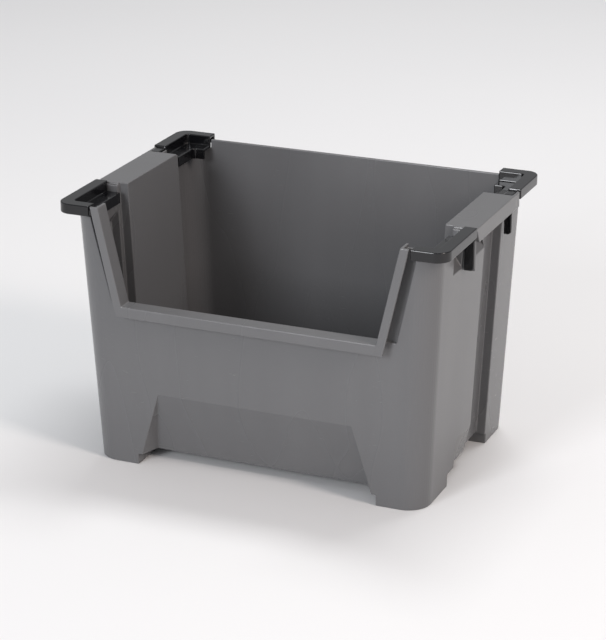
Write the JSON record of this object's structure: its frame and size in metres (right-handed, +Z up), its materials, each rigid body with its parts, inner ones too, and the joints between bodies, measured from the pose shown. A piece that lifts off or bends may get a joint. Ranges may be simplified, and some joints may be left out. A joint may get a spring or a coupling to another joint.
{
  "type": "stacking plastic crate",
  "caption": "Open-front stacking storage crate with moulded side hand grips, corner feet and lift-off black corner clips that hold the crate above.",
  "frame": {"origin": "centre of the footprint on the floor, under the crate", "axes": "+Z up, the open front faces -Y, +X is the crate's side on the viewer's right when looking at the front"},
  "size_m": [0.43, 0.3, 0.29],
  "materials": {
    "grey_plastic": "satin moulded polypropylene, mid grey, fine vertical draw marks",
    "black_plastic": "smooth black moulded plastic with crisp highlights"
  },
  "bodies": {
    "tub": {"crate_tub": "grey_plastic"},
    "front_left_clip": {"clip_front_left": "black_plastic"},
    "front_right_clip": {"clip_front_right": "black_plastic"},
    "rear_left_clip": {"clip_rear_left": "black_plastic"},
    "rear_right_clip": {"clip_rear_right": "black_plastic"}
  },
  "joints": [
    {"name": "front_left_clip_lift", "type": "slide", "parent": "tub", "child": "front_left_clip", "axis": [0, 0, 1], "range_m": [0, 0.05]},
    {"name": "front_right_clip_lift", "type": "slide", "parent": "tub", "child": "front_right_clip", "axis": [0, 0, 1], "range_m": [0, 0.05]},
    {"name": "rear_left_clip_lift", "type": "slide", "parent": "tub", "child": "rear_left_clip", "axis": [0, 0, 1], "range_m": [0, 0.05]},
    {"name": "rear_right_clip_lift", "type": "slide", "parent": "tub", "child": "rear_right_clip", "axis": [0, 0, 1], "range_m": [0, 0.05]}
  ]
}
